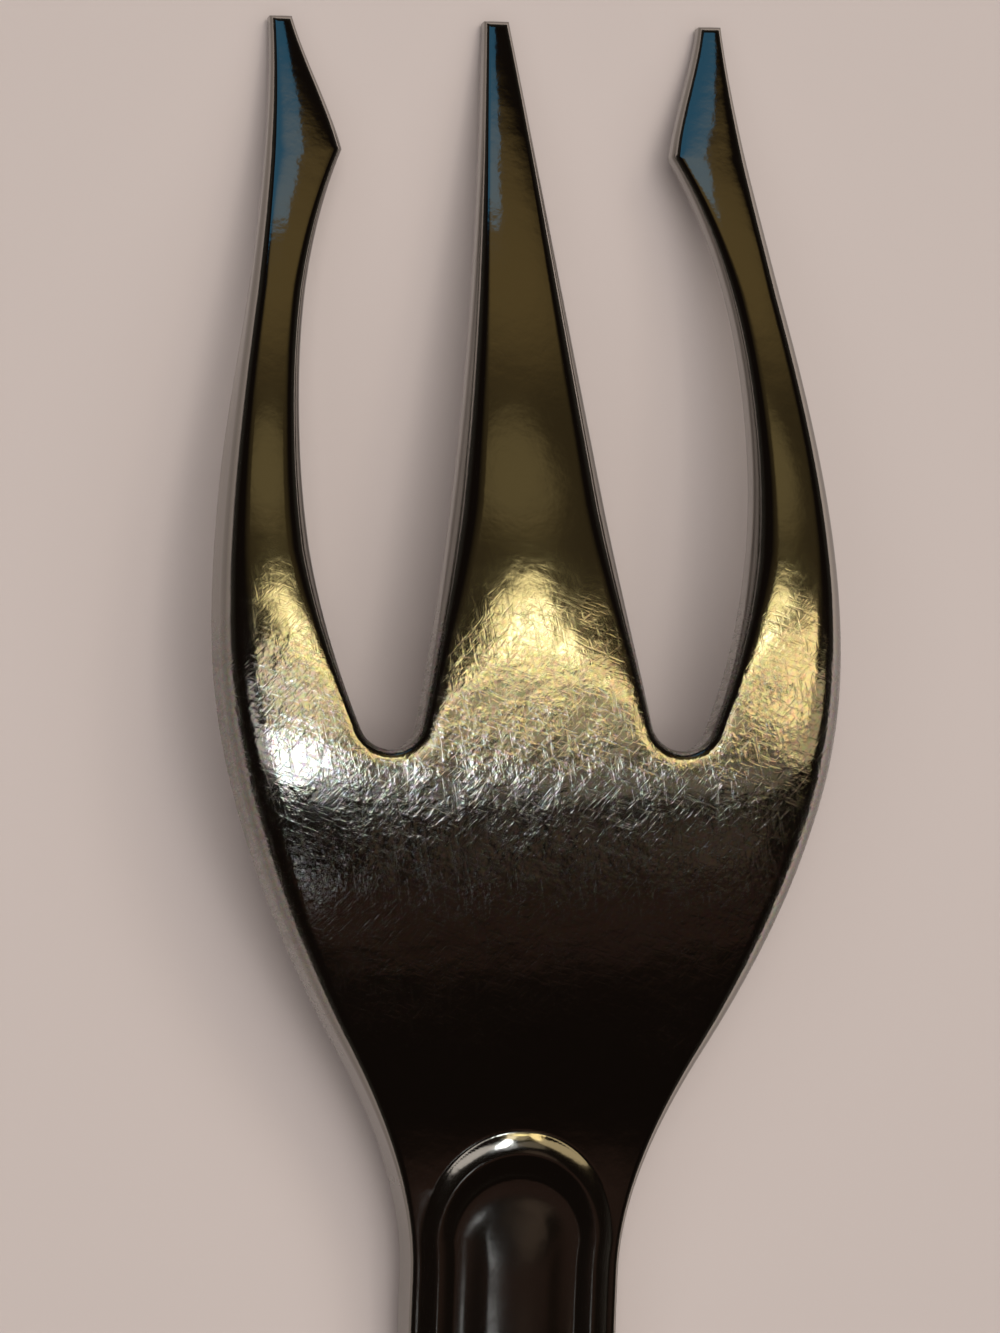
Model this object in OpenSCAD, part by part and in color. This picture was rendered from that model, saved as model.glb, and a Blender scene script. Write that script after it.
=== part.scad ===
// Oyster fork: one bar of polished stainless steel, blanked, rolled and coined.
// It lies face down, the back of the head uppermost, as it does on a table.
// Frame: +X to the right, +Y toward the tine tips, +Z up; the table is z = 0.
// Every profile is a function of s, the distance from the tine tips along the fork.

/* [Overall] */
// Length from the tine tips to the end of the handle
fork_length = 145; // [125:0.5:165]
// Width over the outer tines at the shoulders, on the face, where it is greatest
head_width = 20.8; // [18.6:0.1:23.8]
// Length of the gaps between the tines
tine_length = 24.85; // [22:0.05:28]
// Distance from the closed end of the gaps to the narrowest place of the neck
palm_length = 17; // [14:0.1:20]

/* [Tines] */
// Width of an outer tine at its tip
tip_width = 0.75; // [0.6:0.05:1.2]
// Width of an outer tine at its narrowest, behind the barb
waist_width = 1.8; // [1.4:0.05:2.3]
// How far each barb stands in from the inner edge of its tine
barb_reach = 1.9; // [1:0.05:2.4]
// Distance from the tip to the point of the barb
barb_distance = 4.75; // [3.5:0.05:6]
// Width of the round closed end of each gap
notch_width = 2.1; // [1.6:0.05:2.6]
// Thickness at the tips
tip_thickness = 1; // [0.8:0.05:1.3]

/* [Palm and neck] */
// How far the sides of the palm lean out from the back to the face
side_flare = 0.35; // [0.1:0.05:0.5]
// Thickness of the palm and of the tine roots
palm_thickness = 1.9; // [1.5:0.05:2.4]
// Width of the neck at its narrowest
neck_width = 6.9; // [5.5:0.1:8.5]
// Thickness of the neck
neck_thickness = 2.3; // [1.9:0.05:2.8]
// Height of the back of the palm above the table
back_height = 8.8; // [7:0.1:10.5]
// Radius of the worn edges on the back
back_round = 0.45; // [0.25:0.05:0.6]
// Radius of the edges on the face
face_round = 0.2; // [0.1:0.05:0.3]
// Width of the polished slope along the edges of the back
slope_width = 2.4; // [1.6:0.1:3.2]

/* [Handle] */
// Width of the handle near its rounded end
end_width = 14.4; // [11:0.1:18]
// Thickness of the handle beside the bead
handle_thickness = 1.9; // [1.5:0.05:2.4]
// Height of the middle of the handle's end above its lowest place
end_lift = 3.4; // [1.5:0.1:5]
// Width of the raised thread bead
bead_width = 1.1; // [0.8:0.05:1.4]
// Height of the raised thread bead
bead_height = 0.24; // [0.12:0.02:0.36]

/* [Hidden] */

// Plan of the head
half_head = head_width / 2 - side_flare;
half_neck = neck_width / 2;
half_end = end_width / 2;
notch_radius = notch_width / 2;
tip_y = fork_length / 2;
neck_at = tine_length + palm_length;

// The shoulders are the widest place; the flanks fall from them to the neck
shoulder_share = 0.853;
flank_share = 0.645;
flank_width_share = 0.365;
flank_steep_share = 1.81;
shoulder_at = tine_length * shoulder_share;
flank_run = neck_at - shoulder_at;
flank_fall = half_head - half_neck;
flank_at = shoulder_at + flank_run * flank_share;
half_flank = half_neck + flank_fall * flank_width_share;
flank_slope = flank_fall / flank_run * flank_steep_share;

// Outer edge of the outer tines, and its slight splay at the tips
tip_spread_share = 0.752;
tip_splay = 0.02;
half_tips = half_head * tip_spread_share;

// Round closed ends of the gaps, and the slopes of the edges that run into them
notch_place_share = 0.468;
outer_root_slope = 0.4;
middle_root_slope = 0.2;
notch_x = half_head * notch_place_share;
notch_at = tine_length - notch_radius;
outer_root_turn = atan(outer_root_slope);
middle_root_turn = atan(middle_root_slope);
outer_root_at = notch_at + notch_radius * sin(outer_root_turn);
middle_root_at = notch_at + notch_radius * sin(middle_root_turn);
outer_root_x = notch_x + notch_radius * cos(outer_root_turn);
middle_root_x = notch_x - notch_radius * cos(middle_root_turn);

// Inner edge of the outer tines: widest gap at the waist, then the barb
waist_share = 0.6;
waist_at = tine_length * waist_share;
waist_step_share = 0.25;
inner_waist_x = outer(waist_at) - waist_width * (1 + waist_step_share);
barb_x = inner_waist_x - barb_reach;
inner_tip_x = half_tips - tip_width;
barb_front_slope = -0.2;
barb_back_slope = 0.45;

// Middle tine
middle_tip_share = 0.56;
middle_tip_slope = 0.1;
middle_tip_x = tip_width * middle_tip_share;

// Side view: heights of the middle of the metal
apex_share = 1.01;
tip_rise_slope = 0.5;
neck_fall_slope = -0.35;
fall_share = 0.7;
neck_drop_share = 0.6;
low_share = 0.69;
stem_share = 0.43;
stem_lift_share = 0.1;
stem_slope = -0.012;
end_rise_slope = 0.09;
apex_at = tine_length * apex_share;
fall_at = tine_length + palm_length * fall_share;
low_at = fork_length * low_share;
stem_at = mix(fall_at, low_at, stem_share);
tip_mid = tip_thickness / 2;
apex_mid = back_height - palm_thickness / 2;
fall_mid = apex_mid * neck_drop_share;
low_mid = handle_thickness / 2 + bead_height;
stem_mid = low_mid + end_lift * stem_lift_share;
end_mid = low_mid + end_lift;

// The back slopes down to every edge, steepest at the edge itself
edge_slope = 0.35;
tine_round_share = 0.2;
tip_round_share = 0.25;

// The sides of the palm lean out; the tips stand upright, and the handle nearly so
flare_from_share = 0.35;
flare_full_share = 0.65;
neck_flare_share = 0.4;

// Thread bead: one closed line along the handle, arched at the neck
bead_inset_share = 0.8;
arch_share = 0.085;
groove_share = 0.6;
panel_share = 0.9;
bead_inset = bead_width * bead_inset_share;
bead_foot = bead_inset + bead_width / 2;
arch_at = neck_at - palm_length * arch_share;
arch_radius = half_neck;
groove = bead_height * groove_share;
panel_rise = bead_height * panel_share;

// Handle: it stays narrow, then widens to a rounded end
grow_share = 0.5;
grow_width_share = 0.34;
grow_slope = 0.045;
cap_share = 1.12;
cap_turn = 84;
cap_length = half_end * cap_share;
cap_at = fork_length - cap_length * sin(cap_turn);
grow_at = neck_at + (cap_at - neck_at) * grow_share;
half_grow = half_neck + (half_end - half_neck) * grow_width_share;
handle_round_share = 0.2;
fan_share = 0.6;
handle_round = bead_width * handle_round_share;

// Where the palm ends and the handle begins: just ahead of the arch of the bead
joint_share = 1.25;
joint_at = arch_at - arch_radius * joint_share;

// Mesh density
edge_steps = 4;
crown_steps = 4;
panel_steps = 4;
tine_steps = 22;
barb_steps = 9;
notch_steps = 6;
palm_steps = 14;
arch_steps = 20;
handle_steps = 26;
cap_steps = 10;

// Colours for the preview only
tine_tint = [0.74, 0.73, 0.70];
palm_tint = [0.68, 0.68, 0.67];
handle_tint = [0.62, 0.62, 0.63];

// A smooth run between two values with a given slope at each end
function blend(v0, v1, m0, m1, t) =
    v0 * (2 * t * t * t - 3 * t * t + 1)
    + m0 * (t * t * t - 2 * t * t + t)
    + v1 * (3 * t * t - 2 * t * t * t)
    + m1 * (t * t * t - t * t);
function curve(s, a, b, va, vb, sa, sb) =
    blend(va, vb, sa * (b - a), sb * (b - a), (s - a) / (b - a));
function held(t) = max(0, min(1, t));
function soft(t) = held(t) * held(t) * (3 - 2 * held(t));
function mix(a, b, t) = a + (b - a) * t;
function spread(a, b, n) = [for (k = [0:n - 1]) mix(a, b, k / n)];
function flip(row) = [for (k = [len(row) - 1:-1:0]) -row[k]];
function backward(row) = [for (k = [len(row) - 1:-1:0]) row[k]];

// Plan: half width of the whole fork
function outer(s) =
    s < shoulder_at ? curve(s, 0, shoulder_at, half_tips, half_head, tip_splay, 0)
    : s < flank_at ? curve(s, shoulder_at, flank_at, half_head, half_flank, 0, -flank_slope)
    : s < neck_at ? curve(s, flank_at, neck_at, half_flank, half_neck, -flank_slope, 0)
    : s < grow_at ? curve(s, neck_at, grow_at, half_neck, half_grow, 0, grow_slope)
    : s < cap_at ? curve(s, grow_at, cap_at, half_grow, half_end, grow_slope, 0)
    : half_end * sqrt(max(0, 1 - pow((s - cap_at) / cap_length, 2)));

// Plan: inner edge of an outer tine, and half width of the middle tine
function notch_half(s) = sqrt(max(0, notch_radius * notch_radius - pow(s - notch_at, 2)));
function inner(s) =
    s < barb_distance
    ? curve(s, 0, barb_distance, inner_tip_x, barb_x, barb_front_slope, barb_front_slope)
    : s < waist_at
    ? curve(s, barb_distance, waist_at, barb_x, inner_waist_x, barb_back_slope, 0)
    : s < outer_root_at
    ? curve(s, waist_at, outer_root_at, inner_waist_x, outer_root_x, 0, -outer_root_slope)
    : notch_x + notch_half(s);
function middle(s) =
    s < middle_root_at
    ? curve(s, 0, middle_root_at, middle_tip_x, middle_root_x, middle_tip_slope, middle_root_slope)
    : notch_x - notch_half(s);

// Side view: height of the middle of the metal, and its thickness
function spine(s) =
    s < apex_at ? curve(s, 0, apex_at, tip_mid, apex_mid, tip_rise_slope, 0)
    : s < fall_at ? curve(s, apex_at, fall_at, apex_mid, fall_mid, 0, neck_fall_slope)
    : s < stem_at ? curve(s, fall_at, stem_at, fall_mid, stem_mid, neck_fall_slope, stem_slope)
    : s < low_at ? curve(s, stem_at, low_at, stem_mid, low_mid, stem_slope, 0)
    : curve(s, low_at, fork_length, low_mid, end_mid, 0, end_rise_slope);
function thick(s) =
    s < tine_length ? mix(tip_thickness, palm_thickness, soft(s / tine_length))
    : s < neck_at ? mix(palm_thickness, neck_thickness, soft((s - tine_length) / palm_length))
    : mix(neck_thickness, handle_thickness, soft((s - neck_at) / palm_length));

// How far the polished slope has fallen at a distance d from an edge, and how it fades
// out along the palm; on a tine it reaches no further than the middle
function slope(d, w) =
    let (wide = min(slope_width, w))
    edge_slope * wide / 3 * pow(1 - held(d / wide), 3);
function slope_fade(s) = soft((joint_at - s) / (joint_at - tine_length));

// How far a quarter-round edge of radius r has fallen at a distance d from the rim
function rim(d, r) = d >= r ? 0 : r - sqrt(max(0, r * r - pow(r - max(d, 0), 2)));
function rim_step(k) = 1 - cos(90 * k / edge_steps);
function body_round(s, r) = mix(r, handle_round, soft((s - tine_length) / palm_length));

// How far the face stands out beyond the back at the sides of the head
function flare(s) =
    let (start = tine_length * flare_from_share, full = tine_length * flare_full_share)
    s < tine_length
    ? side_flare * soft((s - start) / (full - start))
    : s < joint_at
    ? side_flare * mix(1, neck_flare_share, soft((s - tine_length) / (joint_at - tine_length)))
    : side_flare * neck_flare_share * soft((grow_at - s) / (grow_at - joint_at));

// Distance to the free edges, which are the notch circles once s is past the roots
function from_notch(x, s) = norm([x - notch_x, s - notch_at]) - notch_radius;
function from_inner(x, s) = s < outer_root_at ? x - inner(s) : from_notch(x, s);
function from_middle(x, s) = s < middle_root_at ? middle(s) - x : from_notch(x, s);
function from_outer(x, s) = outer(s) - x;

// Rows across a tine: close together in the rounded edges, even between them
function reach(d, s, root_at) =
    s < root_at ? d
    : sqrt(max(0, pow(notch_radius + d, 2) - pow(s - notch_at, 2))) - notch_half(s);
function worn(s) = back_round * mix(tip_round_share, 1, soft(s / tine_length));
function tine_round(s) = min(worn(s), (outer(s) - inner(s)) * tine_round_share);
function middle_round(s) = min(worn(s), middle(s) * tine_round_share * 2);
function outer_edge(s, r) = [for (k = [edge_steps:-1:0]) outer(s) - r * rim_step(k)];
function inner_edge(s, r) =
    [for (k = [0:edge_steps]) inner(s) + reach(r * rim_step(k), s, outer_root_at)];
function middle_edge(s, r) =
    [for (k = [edge_steps:-1:0]) middle(s) - reach(r * rim_step(k), s, middle_root_at)];
function joined(a, b, n) =
    concat(a, [for (k = [1:n - 1]) mix(a[len(a) - 1], b[0], k / n)], b);
function outer_rows(s) = joined(inner_edge(s, tine_round(s)), outer_edge(s, tine_round(s)), crown_steps);
function middle_rows(s) =
    let (edge = middle_edge(s, middle_round(s)))
    joined(flip(edge), edge, crown_steps * 2);

// Back and face of the head
function back_of(s, d, r) = spine(s) + thick(s) / 2 - rim(d, r);
function face_of(s, d, r) = spine(s) - thick(s) / 2 + rim(d, r);
function outer_back(x, s) =
    let (a = from_inner(x, s), b = from_outer(x, s), half = (outer(s) - inner(s)) / 2)
    back_of(s, min(a, b, s), tine_round(s)) - slope(a, half) - slope(b, half);
function outer_face(x, s) = face_of(s, min(from_inner(x, s), from_outer(x, s)), face_round);
function middle_back(x, s) =
    let (d = from_middle(abs(x), s))
    back_of(s, min(d, s), middle_round(s)) - slope(d, middle(s));
function middle_face(x, s) = face_of(s, from_middle(abs(x), s), face_round);
function palm_back(x, s) =
    let (a = from_notch(abs(x), s), b = from_outer(abs(x), s))
    back_of(s, min(a, b), body_round(s, back_round))
    - (slope(a, slope_width) + slope(b, slope_width)) * slope_fade(s);
function palm_face(x, s) =
    face_of(s, min(from_notch(abs(x), s), from_outer(abs(x), s)), body_round(s, face_round));

// Handle: distance in from the outline, with the arch and the rounded end
function ring(x, s) =
    s < arch_at ? outer(arch_at) - norm([x, s - arch_at])
    : s < cap_at ? outer(s) - abs(x)
    : half_end * (1 - norm([x / half_end, (s - cap_at) / cap_length]));
function bead(d) =
    abs(d - bead_inset) > bead_width / 2 ? 0 : pow(cos(180 * (d - bead_inset) / bead_width), 2);
function panel(d, w) =
    d < bead_inset ? 0
    : d < bead_foot ? -groove * (1 - bead(d))
    : -groove + (groove + panel_rise) * (1 - pow(1 - held((d - bead_foot) / (w - bead_foot)), 2));
function relief(x, s) =
    let (d = ring(x, s), w = outer(max(arch_at, min(s, cap_at))))
    bead_height * bead(d) + panel(d, w);
function from_outline(x, s) = s < cap_at ? outer(s) - abs(x) : ring(x, s);
function handle_back(x, s) =
    back_of(s, from_outline(x, s), body_round(s, back_round)) + relief(x, s);
function handle_face(x, s) =
    face_of(s, from_outline(x, s), body_round(s, face_round)) - relief(x, s);

// Rows across the handle follow the lines of the bead round the arch and the end
function follow(d, s) =
    s < arch_at ? sqrt(max(0, pow(outer(arch_at) - d, 2) - pow(s - arch_at, 2)))
    : s < cap_at ? outer(s) - d
    : half_end * sqrt(max(0, pow(1 - d / half_end, 2) - pow((s - cap_at) / cap_length, 2)));
function bead_rows() = [for (k = [2:-1:-2]) bead_inset + bead_width * k / 4];
function half_rows(s) =
    let (w = outer(max(arch_at, min(s, cap_at))),
        r = body_round(s, back_round),
        depths = concat(spread(w, bead_foot, panel_steps), bead_rows()),
        n = len(depths),
        room = (outer(s) - r) * fan_share)
    concat([for (k = [0:n - 1]) max(follow(depths[k], s), room * k / n)],
        [outer(s) - r, outer(s) - r * rim_step(2), outer(s)]);
function handle_rows(s) =
    let (half = half_rows(s))
    concat([for (k = [len(half) - 1:-1:1]) -half[k]], half);

// Rows across the palm: those of the three tine roots, drawn together toward the neck
function palm_rows(s) =
    let (r = body_round(s, back_round),
        scale_to = (outer(s) - r) / (outer(tine_length) - back_round),
        root = outer_rows(tine_length),
        core = concat(middle_rows(tine_length),
            [for (k = [1:len(root) - edge_steps - 2]) root[k]]),
        half = [for (x = core) if (x > 0) x * scale_to])
    concat(flip(concat(half, outer_edge(s, r))), [0], half, outer_edge(s, r));

// Rows on the face, from one edge to the other, and where the flare of the sides puts them
function face_rows(a, b, r, n) = concat([b], spread(b - r, a + r, n), [a + r, a]);
function flared(x, s) =
    let (from = outer(s) * notch_x / outer(tine_length))
    x + sign(x) * flare(s) * max(0, (abs(x) - from) / (outer(s) - from));
function flared_tine(x, s) = x + flare(s) * (x - inner(s)) / (outer(s) - inner(s));

// Stations along the fork
function run(a, b, n) = [for (k = [0:n]) mix(a, b, k / n)];
function tip_run() = [for (k = [0:edge_steps]) back_round * rim_step(k)];
function arc_run(a) =
    [for (k = [1:notch_steps])
        notch_at + notch_radius * sin(mix(a, 90, k / notch_steps))];
outer_stations = concat(tip_run(),
    [for (k = [1:barb_steps]) mix(back_round, barb_distance, k / barb_steps)],
    [for (k = [1:tine_steps]) mix(barb_distance, outer_root_at, k / tine_steps)],
    arc_run(outer_root_turn));
middle_stations = concat(tip_run(),
    [for (k = [1:tine_steps]) mix(back_round, middle_root_at, k / tine_steps)],
    arc_run(middle_root_turn));
palm_stations = concat(
    [for (k = [0:edge_steps]) tine_length + back_round * rim_step(k)],
    [for (k = [1:palm_steps]) mix(tine_length + back_round, joint_at, k / palm_steps)]);
handle_stations = concat(
    [for (k = [0:arch_steps]) mix(joint_at, arch_at, k / arch_steps)],
    [for (k = [1:handle_steps]) mix(arch_at, cap_at, k / handle_steps)],
    [for (k = [1:cap_steps]) cap_at + cap_length * sin(cap_turn * k / cap_steps)]);

// Skin of a bar: every section is a closed ring with the same number of points
function place(x, s, z) = [x, tip_y - s, z];
function skin(rings, n) =
    [for (i = [0:rings - 2]) for (j = [0:n - 1])
        let (a = i * n + j, b = i * n + (j + 1) % n)
        for (t = [[a, b, a + n], [b, b + n, a + n]]) t];
module bar(sections) {
    n = len(sections[0]);
    rings = len(sections);
    points = [for (ring = sections) for (p = ring) p];
    near_cap = [for (j = [n - 1:-1:0]) j];
    far_cap = [for (j = [0:n - 1]) (rings - 1) * n + j];
    faces = concat([near_cap], skin(rings, n), [far_cap]);
    polyhedron(points = points, faces = faces, convexity = 8);
}

function outer_section(s, side) =
    let (rows = outer_rows(s), under = face_rows(inner(s), outer(s), face_round, 3))
    side > 0
    ? concat([for (x = rows) place(x, s, outer_back(x, s))],
        [for (x = under) place(flared_tine(x, s), s, outer_face(x, s))])
    : concat([for (x = backward(rows)) place(-x, s, outer_back(x, s))],
        [for (x = backward(under)) place(-flared_tine(x, s), s, outer_face(x, s))]);
function middle_section(s) =
    concat([for (x = middle_rows(s)) place(x, s, middle_back(x, s))],
        [for (x = face_rows(-middle(s), middle(s), face_round, 4)) place(x, s, middle_face(x, s))]);
function palm_section(s) =
    concat([for (x = palm_rows(s)) place(x, s, palm_back(x, s))],
        [for (x = face_rows(-outer(s), outer(s), body_round(s, face_round), 12))
            place(flared(x, s), s, palm_face(x, s))]);
function handle_section(s) =
    let (rows = handle_rows(s))
    concat([for (x = rows) place(x, s, handle_back(x, s))],
        [for (x = backward(rows)) place(flared(x, s), s, handle_face(x, s))]);

module left_tine() {
    color(tine_tint) bar([for (s = outer_stations) outer_section(s, -1)]);
}
module middle_tine() {
    color(tine_tint) bar([for (s = middle_stations) middle_section(s)]);
}
module right_tine() {
    color(tine_tint) bar([for (s = outer_stations) outer_section(s, 1)]);
}
module palm() {
    color(palm_tint) bar([for (s = palm_stations) palm_section(s)]);
}
module handle() {
    color(handle_tint) bar([for (s = handle_stations) handle_section(s)]);
}

left_tine();
middle_tine();
right_tine();
palm();
handle();
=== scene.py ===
"""Oyster fork of polished stainless steel, lying face down.

The five zones of the fork are skins worked out from the same plan, side view and relief, so they
meet in one unbroken surface. Every surface is a function of two parameters: x across the fork and
s, the distance from the tine tips along it.
"""
import math

import bpy
import mathutils
import numpy as np
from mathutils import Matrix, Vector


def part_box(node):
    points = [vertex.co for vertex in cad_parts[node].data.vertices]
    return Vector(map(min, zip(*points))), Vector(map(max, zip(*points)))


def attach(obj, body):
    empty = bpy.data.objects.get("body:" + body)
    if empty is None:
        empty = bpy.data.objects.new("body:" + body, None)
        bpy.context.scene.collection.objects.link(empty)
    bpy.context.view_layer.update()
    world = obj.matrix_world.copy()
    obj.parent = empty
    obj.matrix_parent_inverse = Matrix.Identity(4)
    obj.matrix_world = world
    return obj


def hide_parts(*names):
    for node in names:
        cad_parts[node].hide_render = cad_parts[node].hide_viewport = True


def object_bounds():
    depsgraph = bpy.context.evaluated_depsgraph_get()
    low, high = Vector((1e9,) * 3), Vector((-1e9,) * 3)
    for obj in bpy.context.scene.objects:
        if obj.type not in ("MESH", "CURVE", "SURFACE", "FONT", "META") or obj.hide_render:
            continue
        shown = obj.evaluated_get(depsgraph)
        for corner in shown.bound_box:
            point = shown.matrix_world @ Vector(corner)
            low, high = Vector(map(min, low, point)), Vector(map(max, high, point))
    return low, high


bl_info = {
    "name": "Oyster fork",
    "version": (1, 0, 0),
    "blender": (4, 5, 0),
    "location": "View3D > Sidebar > Oyster fork",
    "description": "Builds a polished oyster fork with barbed tines and a thread bead",
    "category": "Add Mesh",
}

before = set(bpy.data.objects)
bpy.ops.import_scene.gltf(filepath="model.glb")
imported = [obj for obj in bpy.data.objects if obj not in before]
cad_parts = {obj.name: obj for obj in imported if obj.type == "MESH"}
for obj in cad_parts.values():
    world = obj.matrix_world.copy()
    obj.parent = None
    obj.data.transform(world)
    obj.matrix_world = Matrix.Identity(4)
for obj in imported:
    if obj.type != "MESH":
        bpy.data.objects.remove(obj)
CAD_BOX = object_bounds()
MM = 0.001


def node_span(name, axis):
    """Length of one CAD node's box along an axis."""
    low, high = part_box(name)
    return high[axis] - low[axis]


FORK_LENGTH = CAD_BOX[1][1] - CAD_BOX[0][1]
HEAD_WIDTH = CAD_BOX[1][0] - CAD_BOX[0][0]
TINE_LENGTH = node_span("middle_tine", 1)


def length(name, text, default):
    """A size in metres, for the panel."""
    return bpy.props.FloatProperty(name=name, description=text, default=default, min=0.0,
                                   precision=5, unit="LENGTH", subtype="DISTANCE")


def tint(name, text, default):
    """A colour, for the panel."""
    return bpy.props.FloatVectorProperty(name=name, description=text, default=default, size=3,
                                         min=0.0, max=1.0, subtype="COLOR")


class OysterForkSizes(bpy.types.PropertyGroup):
    """Sizes of the fork."""
    fork_length: length("Length", "Tine tips to the end of the handle", FORK_LENGTH)
    head_width: length("Head width", "Width over the shoulders", HEAD_WIDTH)
    tine_length: length("Tine length", "Depth of the gaps between the tines", TINE_LENGTH)
    palm_length: length("Palm length", "Closed end of the gaps to the neck", 17 * MM)
    tip_width: length("Tip width", "Width of an outer tine at its tip", 0.75 * MM)
    waist_width: length("Tine waist", "Narrowest width of an outer tine", 1.8 * MM)
    barb_reach: length("Barb reach", "How far a barb stands in", 1.9 * MM)
    barb_distance: length("Barb distance", "Tip to the point of the barb", 4.75 * MM)
    notch_width: length("Notch width", "Width of the closed end of a gap", 2.1 * MM)
    tip_thickness: length("Tip thickness", "Thickness at the tips", 1.0 * MM)
    palm_thickness: length("Palm thickness", "Thickness of the palm", 1.9 * MM)
    side_flare: length("Side flare", "How far the sides of the palm lean out", 0.15 * MM)
    neck_width: length("Neck width", "Width of the neck", 6.9 * MM)
    neck_thickness: length("Neck thickness", "Thickness of the neck", 2.3 * MM)
    back_height: length("Back height", "Height of the back of the palm", 8.8 * MM)
    back_round: length("Back edge radius", "Worn edges on the back", 1.0 * MM)
    face_round: length("Face edge radius", "Edges on the face", 0.2 * MM)
    slope_width: length("Edge slope", "Width of the gentle slope along the back's edges", 3.6 * MM)
    fall_width: length("Edge fall", "Width of the steeper fall just inside them", 0.8 * MM)
    end_width: length("End width", "Width of the handle near its end", 14.4 * MM)
    handle_thickness: length("Handle thickness", "Beside the bead", 1.9 * MM)
    end_lift: length("End lift", "Rise of the handle's end", 3.4 * MM)
    bead_width: length("Bead width", "Width of the thread bead", 1.1 * MM)
    bead_height: length("Bead height", "Height of the thread bead", 0.24 * MM)


class OysterForkLooks(bpy.types.PropertyGroup):
    """Colours of the steel and of the stage."""
    steel: tint("Steel", "Colour of the polished steel", (0.60, 0.575, 0.53))
    cloth: tint("Floor", "Colour of the floor", (0.50, 0.44, 0.43))


def held(t):
    """The number, kept between 0 and 1."""
    return np.clip(t, 0.0, 1.0)


def soft(t):
    """Three t squared less two t cubed: an even start and an even stop."""
    t = held(t)
    return t * t * (3 - 2 * t)


def mix(a, b, t):
    """A straight run from a to b."""
    return a + (b - a) * t


def bend(s, a, b, va, vb, sa, sb):
    """The cubic from va at a to vb at b with slopes sa and sb there."""
    t, run = (s - a) / (b - a), b - a
    return (va * (2 * t**3 - 3 * t**2 + 1) + sa * run * (t**3 - 2 * t**2 + t)
            + vb * (3 * t**2 - 2 * t**3) + sb * run * (t**3 - t**2))


def through(s, knots):
    """Cubics from knot to knot, each knot a place, the value there and the slope there."""
    runs = [bend(s, a, b, va, vb, sa, sb) for (a, va, sa), (b, vb, sb) in zip(knots, knots[1:])]
    return np.select([s < knot[0] for knot in knots[1:-1]], runs[:-1], runs[-1])


# The plan: places and widths as shares of the named sizes, slopes as run across over run along.
SHOULDER_SHARE = 0.853  # widest place of the head, of the tine length
TIPS_SHARE = 0.752  # width over the tips, of the head's
TIPS_SLOPE = 0.02
FLANK_SHARE = 0.645  # middle of the flank, of the way from the shoulders to the neck
FLANK_WIDTH_SHARE = 0.365  # of the loss in width left there
FLANK_STEEPER = 1.81  # its slope, against the mean one
NOTCH_SHARE = 0.468  # middle of a gap, of the head's half width
OUTER_ROOT_SLOPE, MIDDLE_ROOT_SLOPE = 0.4, 0.2  # of the edges where the round end starts
WAIST_SHARE = 0.6  # narrowest place of an outer tine, of its length
WAIST_INSET_SHARE = 1.25  # outer to inner edge there, of the waist's width
BARB_FRONT_SLOPE, BARB_BACK_SLOPE = -0.2, 0.45
MIDDLE_TIP_SHARE, MIDDLE_TIP_SLOPE = 0.56, 0.1  # half width at its tip, of an outer tip's width
GROW_SHARE, GROW_WIDTH_SHARE, GROW_SLOPE = 0.5, 0.34, 0.045  # the handle's middle
CAP_SHARE, CAP_TURN = 1.12, math.radians(84)  # the ellipse of the end and where it stops

# The side view: places and heights of the spine as shares, and its slopes.
APEX_SHARE = 1.01  # top of the head, of the tine length
FALL_SHARE, FALL_HEIGHT_SHARE = 0.7, 0.6  # of the palm's length and of the apex's height
STEM_SHARE, STEM_LIFT_SHARE = 0.43, 0.1
LOW_SHARE = 0.69  # lowest place, of the fork's length
RISE_SLOPE, FALL_SLOPE, STEM_SLOPE, END_SLOPE = 0.5, -0.35, -0.012, 0.09

# The section: slopes of the back beside its edges and radii of the edges as shares.
EDGE_SLOPE, EDGE_FALL = 0.10, 0.35
TIP_ROUND_SHARE, WIDTH_ROUND_SHARE = 0.2, 0.26
GAP_ROUND_SHARE, NOTCH_ROUND_SHARE = 0.8, 0.3
GAP_FINE_FROM, GAP_FINE_RUN = 0.68, 0.28  # of the tine length
OUTER_CREST_FROM, MIDDLE_CREST_FROM = 0.76, 0.82  # where the crest leaves the middle of a tine
OUTER_FALL_SHARE, GAP_FALL_SHARE, MIDDLE_FALL_SHARE = 0.3, 0.15, 0.2
FLARE_FROM, FLARE_FULL, FLARE_JOINT = 0.35, 0.65, 0.4
TWIST_SLOPE, TWIST_SHARE = 0.10, 0.42

# The bead, as shares of its width and height, and the joint of palm and handle.
BEAD_INSET_SHARE = 0.8
BEAD_BROADER = 0.4  # added to its width at the top of the arch
BEAD_FLANK_SHARE, BEAD_POWER = 0.06, 1.5
PANEL_RUN_SHARE, PANEL_LEVEL_SHARE, PANEL_DOME_SHARE = 0.18, 0.35, 0.9
HANDLE_ROUND_SHARE = 0.2
ARCH_SHARE = 0.063  # from the neck toward the tips, of the palm's length
JOINT_SHARE, JOINT_WIDTH_SHARE = 0.085, 1.25

HAIR, SPECK, TINY = 1e-6, 1e-9, 1e-18  # least divisors: a width, a length and an area


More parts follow.
